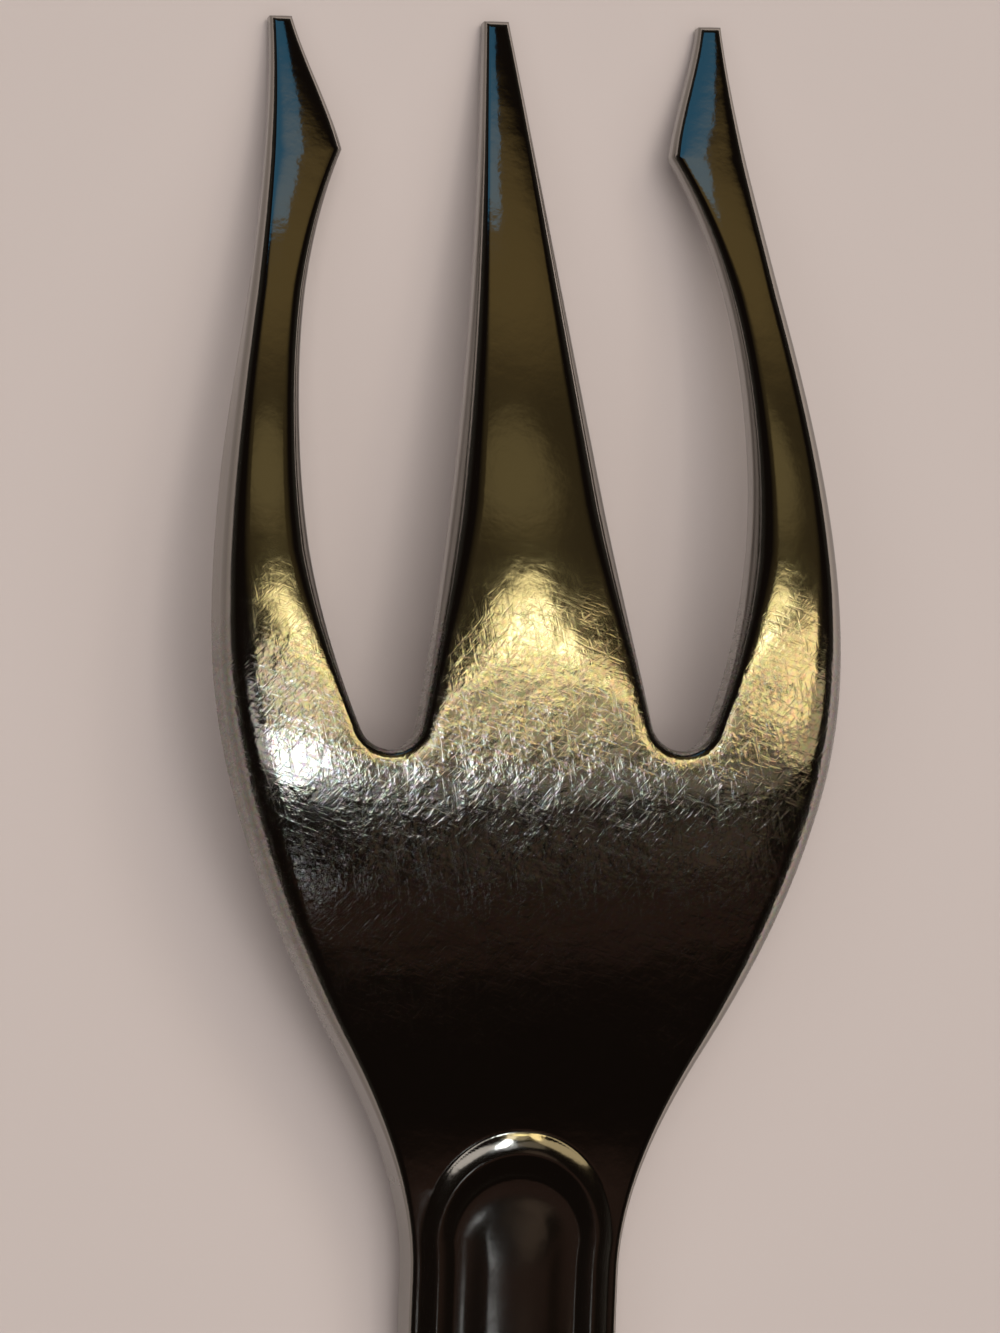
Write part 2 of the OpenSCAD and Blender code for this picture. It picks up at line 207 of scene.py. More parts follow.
class ForkShape:
    """The fork's plan, side view and relief, all as functions of x and s."""

    def __init__(self, size):
        self.size = size
        self.half_head = size.head_width / 2 - size.side_flare
        self.half_neck = size.neck_width / 2
        self.half_end, self.notch_r = size.end_width / 2, size.notch_width / 2
        self.tip_y = size.fork_length / 2
        self.neck_at = size.tine_length + size.palm_length
        self.shoulder_at = size.tine_length * SHOULDER_SHARE
        run, fall = self.neck_at - self.shoulder_at, self.half_head - self.half_neck
        self.flank_at = self.shoulder_at + run * FLANK_SHARE
        self.half_flank = self.half_neck + fall * FLANK_WIDTH_SHARE
        self.flank_slope = fall / run * FLANK_STEEPER
        self.half_tips = self.half_head * TIPS_SHARE
        self.notch_x = self.half_head * NOTCH_SHARE
        self.notch_at = size.tine_length - self.notch_r
        self.outer_turn = math.atan(OUTER_ROOT_SLOPE)
        self.middle_turn = math.atan(MIDDLE_ROOT_SLOPE)
        self.outer_root = self.notch_at + self.notch_r * math.sin(self.outer_turn)
        self.middle_root = self.notch_at + self.notch_r * math.sin(self.middle_turn)
        self.outer_root_x = self.notch_x + self.notch_r * math.cos(self.outer_turn)
        self.middle_root_x = self.notch_x - self.notch_r * math.cos(self.middle_turn)
        self.cap_length = self.half_end * CAP_SHARE
        self.cap_at = size.fork_length - self.cap_length * math.sin(CAP_TURN)
        self.grow_at = mix(self.neck_at, self.cap_at, GROW_SHARE)
        self.half_grow = mix(self.half_neck, self.half_end, GROW_WIDTH_SHARE)
        self.waist_at = size.tine_length * WAIST_SHARE
        self.waist_x = self.outer_at(self.waist_at) - size.waist_width * WAIST_INSET_SHARE
        self.barb_x = self.waist_x - size.barb_reach
        self.tip_x = self.half_tips - size.tip_width
        self.apex_at = size.tine_length * APEX_SHARE
        self.fall_at = size.tine_length + size.palm_length * FALL_SHARE
        self.low_at = size.fork_length * LOW_SHARE
        self.stem_at = mix(self.fall_at, self.low_at, STEM_SHARE)
        self.apex = size.back_height - size.palm_thickness / 2
        self.low = size.handle_thickness / 2 + size.bead_height
        self.stem = self.low + size.end_lift * STEM_LIFT_SHARE
        self.notch_round = size.back_round * NOTCH_ROUND_SHARE
        self.bead_foot = size.bead_width * BEAD_INSET_SHARE + size.bead_width / 2
        self.arch_at = self.neck_at - size.palm_length * ARCH_SHARE
        self.arch_r = self.outer_at(self.arch_at)
        self.handle_round = size.bead_width * HANDLE_ROUND_SHARE
        self.joint_at = (self.neck_at - size.palm_length * JOINT_SHARE
                         - self.half_neck * JOINT_WIDTH_SHARE)
        self.half_root = self.outer_at(size.tine_length)

    def outer(self, s):
        """Half width: tips to shoulder, flank, neck, a slow widening and an elliptic end."""
        cap = self.half_end * np.sqrt(np.maximum(0, 1 - ((s - self.cap_at) / self.cap_length)**2))
        return np.where(s < self.cap_at, through(s, (
            (0, self.half_tips, TIPS_SLOPE), (self.shoulder_at, self.half_head, 0),
            (self.flank_at, self.half_flank, -self.flank_slope),
            (self.neck_at, self.half_neck, 0), (self.grow_at, self.half_grow, GROW_SLOPE),
            (self.cap_at, self.half_end, 0))), cap)

    def outer_at(self, s):
        """The half width at a single place."""
        return float(self.outer(np.array(s)))

    def notch_half(self, s):
        """Half the width of the round end of a gap."""
        return np.sqrt(np.maximum(0, self.notch_r**2 - (s - self.notch_at)**2))

    def inner(self, s):
        """Inner edge of an outer tine: tip, barb, waist, root and notch circle."""
        size = self.size
        return np.select(
            [s < size.barb_distance, s < self.waist_at, s < self.outer_root],
            [bend(s, 0, size.barb_distance, self.tip_x, self.barb_x, BARB_FRONT_SLOPE,
                  BARB_FRONT_SLOPE),
             bend(s, size.barb_distance, self.waist_at, self.barb_x, self.waist_x,
                  BARB_BACK_SLOPE, 0),
             bend(s, self.waist_at, self.outer_root, self.waist_x, self.outer_root_x, 0,
                  -OUTER_ROOT_SLOPE)],
            self.notch_x + self.notch_half(s))

    def middle(self, s):
        """Half width of the middle tine: a long taper, then the notch circle."""
        return np.where(
            s < self.middle_root,
            bend(s, 0, self.middle_root, self.size.tip_width * MIDDLE_TIP_SHARE,
                 self.middle_root_x, MIDDLE_TIP_SLOPE, MIDDLE_ROOT_SLOPE),
            self.notch_x - self.notch_half(s))

    def spine(self, s):
        """Height of the middle of the metal: a rise from the tips, a fall to the neck, a lift."""
        size = self.size
        return through(s, (
            (0, size.tip_thickness / 2, RISE_SLOPE), (self.apex_at, self.apex, 0),
            (self.fall_at, self.apex * FALL_HEIGHT_SHARE, FALL_SLOPE),
            (self.stem_at, self.stem, STEM_SLOPE), (self.low_at, self.low, 0),
            (size.fork_length, self.low + size.end_lift, END_SLOPE)))

    def thick(self, s):
        """Thickness: thin tips, a firm palm, the stoutest neck and a flatter handle."""
        size = self.size
        head = mix(size.tip_thickness, size.palm_thickness, soft(s / size.tine_length))
        neck = mix(size.palm_thickness, size.neck_thickness,
                   soft((s - size.tine_length) / size.palm_length))
        stem = mix(size.neck_thickness, size.handle_thickness,
                   soft((s - self.neck_at) / size.palm_length))
        return np.where(s < size.tine_length, head, np.where(s < self.neck_at, neck, stem))

    def slope_drop(self, depth, wide):
        """The polished slope along an edge, the square of what is left of its width."""
        wide = np.maximum(HAIR, np.minimum(self.size.slope_width, wide))
        return EDGE_SLOPE * wide / 2 * (1 - held(depth / wide))**2

    def fall_drop(self, depth, wide):
        """The steeper fall beside the edge, the third power of what is left of its width."""
        wide = np.minimum(self.size.fall_width, wide)
        return EDGE_FALL * wide / 3 * (1 - held(depth / wide))**3

    def body_round(self, s, radius):
        """Edge radius from the palm's to the handle's."""
        size = self.size
        return mix(radius, self.handle_round, soft((s - size.tine_length) / size.palm_length))

    def worn(self, s, wide):
        """Edge radius on the back of a tine: fine at the tip, full at the root."""
        size = self.size
        grown = size.back_round * mix(TIP_ROUND_SHARE, 1, soft(s / size.tine_length))
        return np.minimum(grown, wide * WIDTH_ROUND_SHARE)

    def worn_gap(self, s, wide):
        """The same beside a gap, where it turns fine again round the closed end."""
        closing = soft((s / self.size.tine_length - GAP_FINE_FROM) / GAP_FINE_RUN)
        return np.minimum(self.worn(s, wide), self.size.back_round
                          * mix(GAP_ROUND_SHARE, NOTCH_ROUND_SHARE, closing))

    def flare(self, x, s, inner):
        """How far a row of the face stands out beyond the back, from none at inner to the
        whole flare at the outer edge. The tips stand upright."""
        size = self.size
        start, full = size.tine_length * FLARE_FROM, size.tine_length * FLARE_FULL
        along = (s - size.tine_length) / (self.joint_at - size.tine_length)
        stem = (self.grow_at - s) / (self.grow_at - self.joint_at)
        share = np.select([s < size.tine_length, s < self.joint_at],
                          [soft((s - start) / (full - start)), mix(1, FLARE_JOINT, soft(along))],
                          FLARE_JOINT * soft(stem))
        place = np.maximum(0, (np.abs(x) - inner) / (self.outer(s) - inner))
        return np.sign(x) * size.side_flare * share * place

    def twist(self, x, s):
        """The right tine's tip leans a little to the left: a height that grows with x from the
        middle of the tip and fades out by the waist."""
        middle = (self.tip_x + self.half_tips) / 2
        fade = 1 - soft(s / (self.size.tine_length * TWIST_SHARE))
        return TWIST_SLOPE * (x - middle) * fade

    def from_notch(self, x, s):
        """Distance from the circle at the closed end of a gap."""
        return np.hypot(x - self.notch_x, s - self.notch_at) - self.notch_r

    def side(self, s, depth, radius, up):
        """The back (up 1) or the face (up -1): half the thickness from the spine, less the
        quarter round at a distance depth from a free edge."""
        d = np.clip(depth, 0, radius)
        rim = radius - np.sqrt(np.maximum(0, radius**2 - (radius - d)**2))
        return self.spine(s) + up * (self.thick(s) / 2 - rim)

    def ring(self, x, s):
        """Distance in from the handle's outline, turning round the arch and the end."""
        return np.select(
            [s < self.arch_at, s < self.cap_at],
            [self.arch_r - np.hypot(x, s - self.arch_at), self.outer(s) - np.abs(x)],
            self.half_end * (1 - np.hypot(x / self.half_end, (s - self.cap_at) / self.cap_length)))

    def bead_span(self, x, s):
        """Width of the bead, which is broader over the top of the arch."""
        ahead = np.maximum(0, self.arch_at - s)
        share = ahead / np.maximum(SPECK, np.hypot(x, ahead))
        return self.size.bead_width * (1 + BEAD_BROADER * share**2)

    def relief(self, x, s):
        """Thread bead with steep flanks and a round crest, round a panel that is domed across
        and fades in at its ends."""
        size = self.size
        d, foot = self.ring(x, s), self.bead_foot
        wide = self.outer(np.clip(s, self.arch_at, self.cap_at))
        across = (foot - d) / self.bead_span(x, s)
        feet = soft(across / BEAD_FLANK_SHARE) * soft((1 - across) / BEAD_FLANK_SHARE)
        bead = (1 - np.abs(1 - 2 * held(across))**BEAD_POWER) * feet
        dome = 1 - (1 - held((wide - np.abs(x) - foot) / (wide - foot)))**2
        run = size.palm_length * PANEL_RUN_SHARE
        ends = (soft((s - self.arch_at + self.arch_r - foot) / run)
                * soft((size.fork_length - foot - s) / run) * soft((d - foot) / size.bead_width))
        level = size.bead_height * PANEL_LEVEL_SHARE
        inside = level + size.bead_height * PANEL_DOME_SHARE * dome * ends
        panel = np.where(across > 0.5, 0.0, np.where(across > 0, level * (1 - bead), inside))
        return size.bead_height * bead + panel

    def outer_side(self, x, s, up):
        """Back or face of an outer tine. The back slopes both ways from a crest that moves from
        the middle to the gap's edge at the root."""
        size = self.size
        a, b = self.inner(s), self.outer(s)
        gap, out = np.where(s < self.outer_root, x - a, self.from_notch(x, s)), b - x
        wide = b - a
        if up < 0:
            return self.side(s, np.minimum(gap, out), np.full_like(s, size.face_round), -1)
        radius = np.where(gap < out, self.worn_gap(s, wide), self.worn(s, wide))
        late = soft((s / size.tine_length - OUTER_CREST_FROM) / (1 - OUTER_CREST_FROM))
        crest = late * 0.5 + 0.5
        drop = (self.slope_drop(out, wide * crest) + self.slope_drop(gap, wide * (1 - crest))
                + self.fall_drop(out, wide * OUTER_FALL_SHARE)
                + self.fall_drop(gap, wide * GAP_FALL_SHARE))
        return self.side(s, np.minimum(np.minimum(gap, out), s), radius, 1) - drop

    def middle_side(self, x, s, up):
        """Back or face of the middle tine. The back slopes both ways, less toward the root."""
        size = self.size
        b = self.middle(s)
        gap = np.where(s < self.middle_root, b - np.abs(x), self.from_notch(np.abs(x), s))
        if up < 0:
            return self.side(s, gap, np.full_like(s, size.face_round), -1)
        radius = self.worn_gap(s, b * 2)
        crest = 1 - soft((s / size.tine_length - MIDDLE_CREST_FROM) / (1 - MIDDLE_CREST_FROM))
        drop = self.slope_drop(gap, b * crest) + self.fall_drop(gap, b * MIDDLE_FALL_SHARE)
        return self.side(s, np.minimum(gap, s), radius, 1) - drop

    def palm_side(self, x, s, up):
        """Back or face of the palm. The slopes of the back fade out toward the handle."""
        size = self.size
        gap, out = self.from_notch(np.abs(x), s), self.outer(s) - np.abs(x)
        if up < 0:
            return self.side(s, np.minimum(gap, out), self.body_round(s, size.face_round), -1)
        fade = soft((self.joint_at - s) / (self.joint_at - size.tine_length))
        width = self.half_root - self.notch_x
        drop = (self.slope_drop(out, width) + self.fall_drop(out, width)
                + self.fall_drop(gap, width * GAP_FALL_SHARE))
        radius = np.where(gap < out, self.notch_round, self.body_round(s, size.back_round))
        return self.side(s, np.minimum(gap, out), radius, 1) - drop * fade

    def handle_side(self, x, s, up):
        """Back or face of the handle, both with the bead and the panel."""
        gap = np.where(s < self.cap_at, self.outer(s) - np.abs(x), self.ring(x, s))
        radius = self.size.back_round if up > 0 else self.size.face_round
        return self.side(s, gap, self.body_round(s, radius), up) + up * self.relief(x, s)


# Cells round an edge, over an outer tine, the bead, the middle tine and from the centre line
# to the edge, then rings round the closed end of a gap and the handle's end.
RIM, CORE, BEAD = 8, 15, 20
MIDDLE_CORE = CORE * 2 + 10
HALF = (MIDDLE_CORE + 2 * RIM) // 2 + 1 + 2 * RIM + CORE
NOTCH_RINGS, CAP_RINGS = 18, 36
HEAD_STEP, ARCH_STEP, HANDLE_STEP = 0.09 * MM, 0.07 * MM, 0.36 * MM
TIP_END_SHARE = 0.25  # length of the tips' rounding, of the back's edge radius
FAN_SHARE = 0.8  # outermost row beyond the bead's circles, of the way to the rounded edge
OUTER_TINES = ("left_tine", "right_tine")


def rim_steps(count):
    """Even steps round a quarter circle, as shares of its radius."""
    return 1 - np.cos(np.linspace(0, math.pi / 2, count + 1))


def between(left, right, count):
    """Even rows from the last column of left to the first of right, both kept."""
    t = np.linspace(0, 1, count + 1)[1:-1]
    core = mix(left[:, -1:], right[:, :1], t[None, :])
    return np.concatenate([left, core, right], axis=1)


def notch_reach(shape, depth, s, root):
    """How far a row at a depth from the edge lies from it along x: the depth itself, or more on
    the notch circle."""
    r, away = shape.notch_r, s[:, None] - shape.notch_at
    curved = np.sqrt(np.maximum(0, (r + depth)**2 - away**2)) - shape.notch_half(s)[:, None]
    return np.where(s[:, None] < root, depth, curved)


def outer_rows(shape, s):
    """Rows over an outer tine, close together in both rounded edges."""
    a, b = shape.inner(s), shape.outer(s)
    steps = rim_steps(RIM)[None, :]
    near = shape.worn_gap(s, b - a)[:, None] * steps
    left = a[:, None] + notch_reach(shape, near, s, shape.outer_root)
    right = (b[:, None] - shape.worn(s, b - a)[:, None] * steps)[:, ::-1]
    return between(left, right, CORE)


def middle_rows(shape, s):
    """Rows over the middle tine, mirrored about its centre."""
    b = shape.middle(s)
    depth = shape.worn_gap(s, b * 2)[:, None] * rim_steps(RIM)[None, :]
    right = (b[:, None] - notch_reach(shape, depth, s, shape.middle_root))[:, ::-1]
    return between(-right[:, ::-1], right, MIDDLE_CORE)


def handle_rows(shape, s):
    """Rows over the handle that follow the bead round the arch and the end: circles, lines
    along the outline, then ellipses, with a fan of rows beyond them."""
    size = shape.size
    wide = shape.outer(np.clip(s, shape.arch_at, shape.cap_at))[:, None]
    panel = mix(wide, shape.bead_foot, np.linspace(0, 1, HALF - BEAD - RIM + 1)[None, :-1])
    away = s[:, None]
    share = np.linspace(0, 1, BEAD)[None, :]
    radii = shape.arch_r - shape.bead_foot + size.bead_width * share
    ahead = held((shape.arch_at - away) / radii)
    bead = shape.bead_foot - size.bead_width * share * (1 + BEAD_BROADER * ahead**2)
    depth = np.concatenate([panel, bead], axis=1)
    arch = np.sqrt(np.maximum(0, (shape.arch_r - depth)**2 - (away - shape.arch_at)**2))
    cap = shape.half_end * np.sqrt(np.maximum(
        0, (1 - depth / shape.half_end)**2 - ((away - shape.cap_at) / shape.cap_length)**2))
    x = np.where(away < shape.arch_at, arch, np.where(away < shape.cap_at, wide - depth, cap))
    edge = shape.outer(s)[:, None]
    radius = shape.body_round(s, size.back_round)[:, None]
    fan = (edge - radius) * FAN_SHARE * (np.arange(x.shape[1])[None, :] / x.shape[1])
    rim = (edge - radius * rim_steps(RIM)[None, :])[:, ::-1]
    half = np.concatenate([np.maximum(x, fan), rim], axis=1)
    return np.concatenate([-half[:, :0:-1], half], axis=1)


def palm_rows(shape, s):
    """Rows over the palm: those of the tine roots, drawn together and turned by even degrees
    into those of the handle."""
    size = shape.size
    start = np.array([size.tine_length])
    middle, outer = middle_rows(shape, start)[0], outer_rows(shape, start)[0]
    root = np.concatenate([middle[len(middle) // 2:], outer[1:-RIM - 1]])
    radius = shape.body_round(s, size.back_round)
    wide = shape.outer(s) - radius
    full = shape.half_root - size.back_round
    drawn = root[None, :] * (wide / full)[:, None]
    joint = handle_rows(shape, np.array([shape.joint_at]))[0]
    joint = joint[len(joint) // 2:][:len(root)]
    wide_joint = shape.outer_at(shape.joint_at) - float(
        shape.body_round(shape.joint_at, size.back_round))
    turned = joint[None, :] * (wide / wide_joint)[:, None]
    share = soft((s - size.tine_length) / (shape.joint_at - size.tine_length))[:, None]
    rim = ((wide + radius)[:, None] - radius[:, None] * rim_steps(RIM)[None, :])[:, ::-1]
    half = np.concatenate([mix(drawn, turned, share), rim], axis=1)
    return np.concatenate([-half[:, :0:-1], half], axis=1)


def stretches(*runs):
    """Stations through several stretches, each from, to and step, with their joins once."""
    parts = [np.linspace(a, b, max(2, int(round((b - a) / step)) + 1))[:-1]
             for a, b, step in runs]
    return np.concatenate(parts + [np.array([runs[-1][1]])])


def tine_stations(shape, root, turn):
    """Stations of a tine: close at the tip, exact at the barb, and even round the notch."""
    size = shape.size
    end = size.back_round * TIP_END_SHARE
    tip = end * rim_steps(RIM)[:-1]
    along = stretches((end, size.barb_distance, HEAD_STEP),
                      (size.barb_distance, root, HEAD_STEP))
    turns = np.linspace(turn, math.pi / 2, NOTCH_RINGS + 1)[1:]
    arc = shape.notch_at + shape.notch_r * np.sin(turns)
    arc[-1] = size.tine_length
    return np.concatenate([tip, along, arc])


def fork_zones(shape):
    """The five zones in order from the tips: stations, rows of x for the back, side function."""
    size = shape.size
    outer_s = tine_stations(shape, shape.outer_root, shape.outer_turn)
    middle_s = tine_stations(shape, shape.middle_root, shape.middle_turn)
    palm_s = np.concatenate([
        size.tine_length + shape.notch_round * rim_steps(RIM)[:-1],
        stretches((size.tine_length + shape.notch_round, shape.joint_at, HEAD_STEP))])
    turns = np.linspace(0, CAP_TURN, CAP_RINGS + 1)[1:]
    handle_s = np.concatenate([
        stretches((shape.joint_at, shape.arch_at, ARCH_STEP),
                  (shape.arch_at, shape.cap_at, HANDLE_STEP)),
        shape.cap_at + shape.cap_length * np.sin(turns)])
    outer_x = outer_rows(shape, outer_s)
    return {
        "left_tine": (outer_s, -outer_x[:, ::-1], shape.outer_side),
        "middle_tine": (middle_s, middle_rows(shape, middle_s), shape.middle_side),
        "right_tine": (outer_s, outer_x, shape.outer_side),
        "palm": (palm_s, palm_rows(shape, palm_s), shape.palm_side),
        "handle": (handle_s, handle_rows(shape, handle_s), shape.handle_side),
    }


def zone_skin(shape, zone, name):
    """Closed rings round one zone: the back from left to right, then the face from right to
    left. Gives points, a quad for each cell and the two end caps."""
    stations, x, side = zone
    s = np.repeat(stations[:, None], x.shape[1], axis=1)
    where = np.abs(x) if name in OUTER_TINES else x
    back, face = side(where, s, 1), side(where, s, -1)
    inner = (shape.inner(s) if name in OUTER_TINES
             else shape.outer(s) * shape.notch_x / shape.half_root)
    under = x if name == "middle_tine" else x + shape.flare(x, s, inner)
    ring_x = np.concatenate([x, under[:, ::-1]], axis=1)
    ring_z = np.concatenate([back, face[:, ::-1]], axis=1)
    ring_s = np.concatenate([s, s], axis=1)
    if name == "right_tine":
        ring_z = ring_z + shape.twist(ring_x, ring_s)
    points = np.stack([ring_x, shape.tip_y - ring_s, ring_z], axis=-1)
    rings, count = ring_x.shape
    i, j = np.meshgrid(np.arange(rings - 1), np.arange(count), indexing="ij")
    a, b = i * count + j, i * count + (j + 1) % count
    quads = np.stack([a, a + count, b + count, b], axis=-1).reshape(-1, 4)
    first = np.arange(count)
    return points.reshape(-1, 3), quads, first, (rings - 1) * count + first[::-1]


WELD_GRID = 2e7  # steps per metre within which points count as one


def shared_normals(skins):
    """Normals of every zone's points, added up over all zones so that they shade as one."""
    every = np.concatenate([skin[0] for skin in skins.values()])
    keys = np.round(every * WELD_GRID).astype(np.int64)
    _, place = np.unique(keys, axis=0, return_inverse=True)
    place = place.reshape(-1)
    total = np.zeros((place.max() + 1, 3))
    start = 0
    for points, quads, _, _ in skins.values():
        corner = points[quads]
        normal = np.cross(corner[:, 2] - corner[:, 0], corner[:, 3] - corner[:, 1])
        size = np.linalg.norm(normal, axis=1, keepdims=True)
        normal = normal / np.maximum(size, TINY)
        for k in range(4):
            np.add.at(total, place[start + quads[:, k]], normal * np.sqrt(size))
        start += len(points)
    total /= np.maximum(np.linalg.norm(total, axis=1, keepdims=True), TINY)
    start, out = 0, {}
    for name, (points, _, _, _) in skins.items():
        out[name] = total[place[start:start + len(points)]]
        start += len(points)
    return out


SKINS = {}


def fork_skins(context):
    """All five skins with their normals, worked out once for the sizes in the panel."""
    size = context.scene.oyster_fork_sizes
    key = tuple(getattr(size, name) for name in OysterForkSizes.__annotations__)
    if SKINS.get("key") != key:
        shape = ForkShape(size)
        skins = {name: zone_skin(shape, zone, name) for name, zone in fork_zones(shape).items()}
        SKINS.update(key=key, shape=shape, skins=skins, normals=shared_normals(skins))
    return SKINS


SIDE_WALL, SIDE_FADE = 0.5, 0.3  # upright part of the normal: full wall, then fading over this; the walls it marks are roughened and darkened as painted shade


def steel_piece(context, node):
    """A zone of the fork as a mesh object that stands for its CAD node."""
    made = fork_skins(context)
    points, quads, near, far = made["skins"][node]
    mesh = bpy.data.meshes.new(node + "_skin")
    faces = np.concatenate([quads.reshape(-1), near, far])
    first, last = quads.size, quads.size + len(near)
    starts = np.concatenate([np.arange(len(quads)) * 4, [first, last]])
    mesh.vertices.add(len(points))
    mesh.vertices.foreach_set("co", points.astype(np.float32).reshape(-1))
    mesh.loops.add(len(faces))
    mesh.loops.foreach_set("vertex_index", faces.astype(np.int32))
    mesh.polygons.add(len(starts))
    mesh.polygons.foreach_set("loop_start", starts.astype(np.int32))
    mesh.polygons.foreach_set("use_smooth", np.ones(len(starts), dtype=bool))
    mesh.update(calc_edges=True)
    # The side attribute is one on the upright walls and fades out toward the flat back. It
    # roughens the walls and darkens their colour as painted shade.
    rise = np.abs(made["normals"][node][:, 2])
    mesh.attributes.new("side", "FLOAT", "POINT").data.foreach_set(
        "value", (1 - soft((rise - SIDE_WALL) / SIDE_FADE)).astype(np.float32))
    normals = made["normals"][node][faces]
    normals[first:last] = (0, 1, 0)
    normals[last:] = (0, -1, 0)
    mesh.normals_split_custom_set(normals.astype(np.float32).tolist())
    mesh.validate()
    piece = bpy.data.objects.new(node + "_steel", mesh)
    context.scene.collection.objects.link(piece)
    piece.data.materials.append(worn_steel(context))
    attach(piece, "root")
    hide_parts(node)


class Nodes:
    """A shorthand for adding nodes to a shader tree."""

    def __init__(self, tree):
        self.tree = tree

    def add(self, kind, sockets=(), **settings):
        """A node, with its settings by name and its sockets by label or number."""
        node = self.tree.nodes.new("ShaderNode" + kind)
        for key, value in settings.items():
            setattr(node, key, value)
        for key, value in dict(sockets).items():
            self.put(node.inputs[key], value)
        return node

    def put(self, socket, value):
        """A value or a link into a socket."""
        if isinstance(value, bpy.types.NodeSocket):
            self.tree.links.new(value, socket)
        else:
            socket.default_value = value

    def math(self, operation, a, b=0.5, c=0.0, clamp=False):
        """One sum; a, b and c are values or outputs."""
        return self.add("Math", {0: a, 1: b, 2: c}, operation=operation,
                        use_clamp=clamp).outputs[0]

    def times(self, a, b):
        """A product."""
        return self.math("MULTIPLY", a, b)

    def most(self, a, b):
        """The greater of two, or b where there is no a yet."""
        return b if a is None else self.math("MAXIMUM", a, b)

    def vector(self, operation, a, b):
        """One sum of vectors; to scale one, b is a number."""
        second = "Scale" if operation == "SCALE" else 1
        return self.add("VectorMath", {0: a, second: b}, operation=operation).outputs[0]

    def turned(self, vector, angle):
        """A vector turned about Z."""
        return self.add("VectorRotate", {"Vector": vector, "Angle": angle},
                        rotation_type="Z_AXIS").outputs[0]

    def blend(self, share, a, b, kind="MIX"):
        """Two colours mixed by a share."""
        node = self.add("Mix", data_type="RGBA", blend_type=kind)
        for key, value in (("Factor", share), ("A", a), ("B", b)):
            self.put(node.inputs[key], value)
        return node.outputs["Result"]

    def ramp(self, value, low, high, out_low=0.0, out_high=1.0):
        """A smooth step of a value between two limits."""
        return self.add("MapRange", {
            "Value": value, "From Min": low, "From Max": high, "To Min": out_low,
            "To Max": out_high}, interpolation_type="SMOOTHSTEP").outputs["Result"]

    def noise(self, vector, scale, detail=2.0, rough=0.5):
        """Noise on a vector."""
        return self.add("TexNoise", {
            "Vector": vector, "Scale": scale, "Detail": detail, "Roughness": rough}).outputs["Fac"]


def new_material(name):
    """A material with an empty tree, and the shorthand for it."""
    material = bpy.data.materials.new(name)
    material.use_nodes = True
    material.node_tree.nodes.clear()
    return material, Nodes(material.node_tree)


SHOWN = (0.25, 0.75)  # a cell whose chance is less has no scratch, one with more a full one
BOW, END_SHARE = 0.5, 0.3  # bend of a scratch, and where along it an end starts to thin out


def scratches(nodes, mm, cell, reach, width, lean, swing, shift):
    """Hairline scratches, one in each cell of a Voronoi pattern: a thin arc through the cell's
    own point, at an angle of its own within a swing about a lean, that thins out at its ends."""
    moved = nodes.vector("ADD", mm, shift)
    cells = nodes.add("TexVoronoi", {"Vector": moved, "Scale": 1.0 / cell},
                      voronoi_dimensions="2D")
    centre = nodes.vector("SCALE", cells.outputs["Position"], cell)
    chance = nodes.add("SeparateColor", {0: cells.outputs["Color"]}).outputs
    angle = nodes.math("MULTIPLY_ADD", nodes.math("SUBTRACT", chance[0], 0.5), swing, lean)
    turned = nodes.turned(nodes.vector("SUBTRACT", moved, centre), angle)
    along, across, _ = nodes.add("SeparateXYZ", {0: turned}).outputs
    curve = nodes.times(nodes.math("SUBTRACT", chance[1], 0.5), BOW / reach)
    bow = nodes.times(nodes.times(along, along), curve)
    off = nodes.math("ABSOLUTE", nodes.math("SUBTRACT", across, bow))
    end = nodes.ramp(nodes.math("ABSOLUTE", along), reach * END_SHARE, reach, 1.0, 0.0)
    line = nodes.ramp(off, 0.0, width, 1.0, 0.0)
    return nodes.times(nodes.times(line, end), nodes.ramp(chance[2], *SHOWN))


# Bands across the head, in mm from the tips: each grows between the first two places and fades
# between the last two.
WEAR_BAND, ARC_BAND = (18.0, 23.5, 28.0, 36.0), (20.5, 22.0, 24.4, 25.6)
NICK_BAND = (20.5, 25.0, 30.0, 36.0)
WANDER, LIGHT_WEAR = 6.0, 0.08  # how far the edges wander, in mm; wear outside its band

# Scratches: cell, half length and width in mm, lean and swing in radians, shift in mm.
HAIRLINES = (
    ((2.1, 1.5, 0.04, 1.2, 2.4, (3.7, 1.2, 0.0)), 0.7),
    ((0.9, 0.5, 0.03, 0.9, 2.8, (41.9, 33.4, 0.0)), 0.4),
    ((0.4, 0.13, 0.035, 1.5, 3.6, (67.1, 5.8, 0.0)), 1.1),
)
ARCS = (1.25, 1.15, 0.06, 1.45, 0.7, (9.3, 27.7, 0.0))
NICKS = (0.5, 0.1, 0.05, 0.7, 3.0, (15.7, 3.9, 0.0))
ARC_DEPTH, NICK_DEPTH = 1.5, 2.2

# Strokes of the polishing wheel: direction in radians and stretch.
STROKES = ((0.35, (1.4, 8.0, 1.0)), (1.4, (1.1, 7.0, 1.0)), (2.3, (1.7, 9.0, 1.0)))
STROKE_DEPTH = 0.3

# Noises: scale per mm, detail and roughness. Ramps: from, to and the outcomes there.
WANDER_NOISE, BREAK_NOISE, STROKE_NOISE = (0.35, 2.0), (3.2, 3.0, 0.7), (1.0, 2.0, 0.6)
BROAD_RIPPLE, FINE_RIPPLE = (0.42, 2.0, 0.5), (1.1, 3.0, 0.55)
GRAIN_NOISE, PATCH_NOISE, GLITTER_SCALE = (4.5, 3.0, 0.65), (0.9, 3.0, 0.65), 6.0
BREAKS, STROKE_EDGES, PATCHES = (0.36, 0.62, 0.12, 1.0), (0.52, 0.72), (0.43, 0.64, 0.2, 2.1)
BELT_RIPPLE, CLEAN_GRAIN = 6.0, 0.04  # ripple added in the belt; grain left outside it

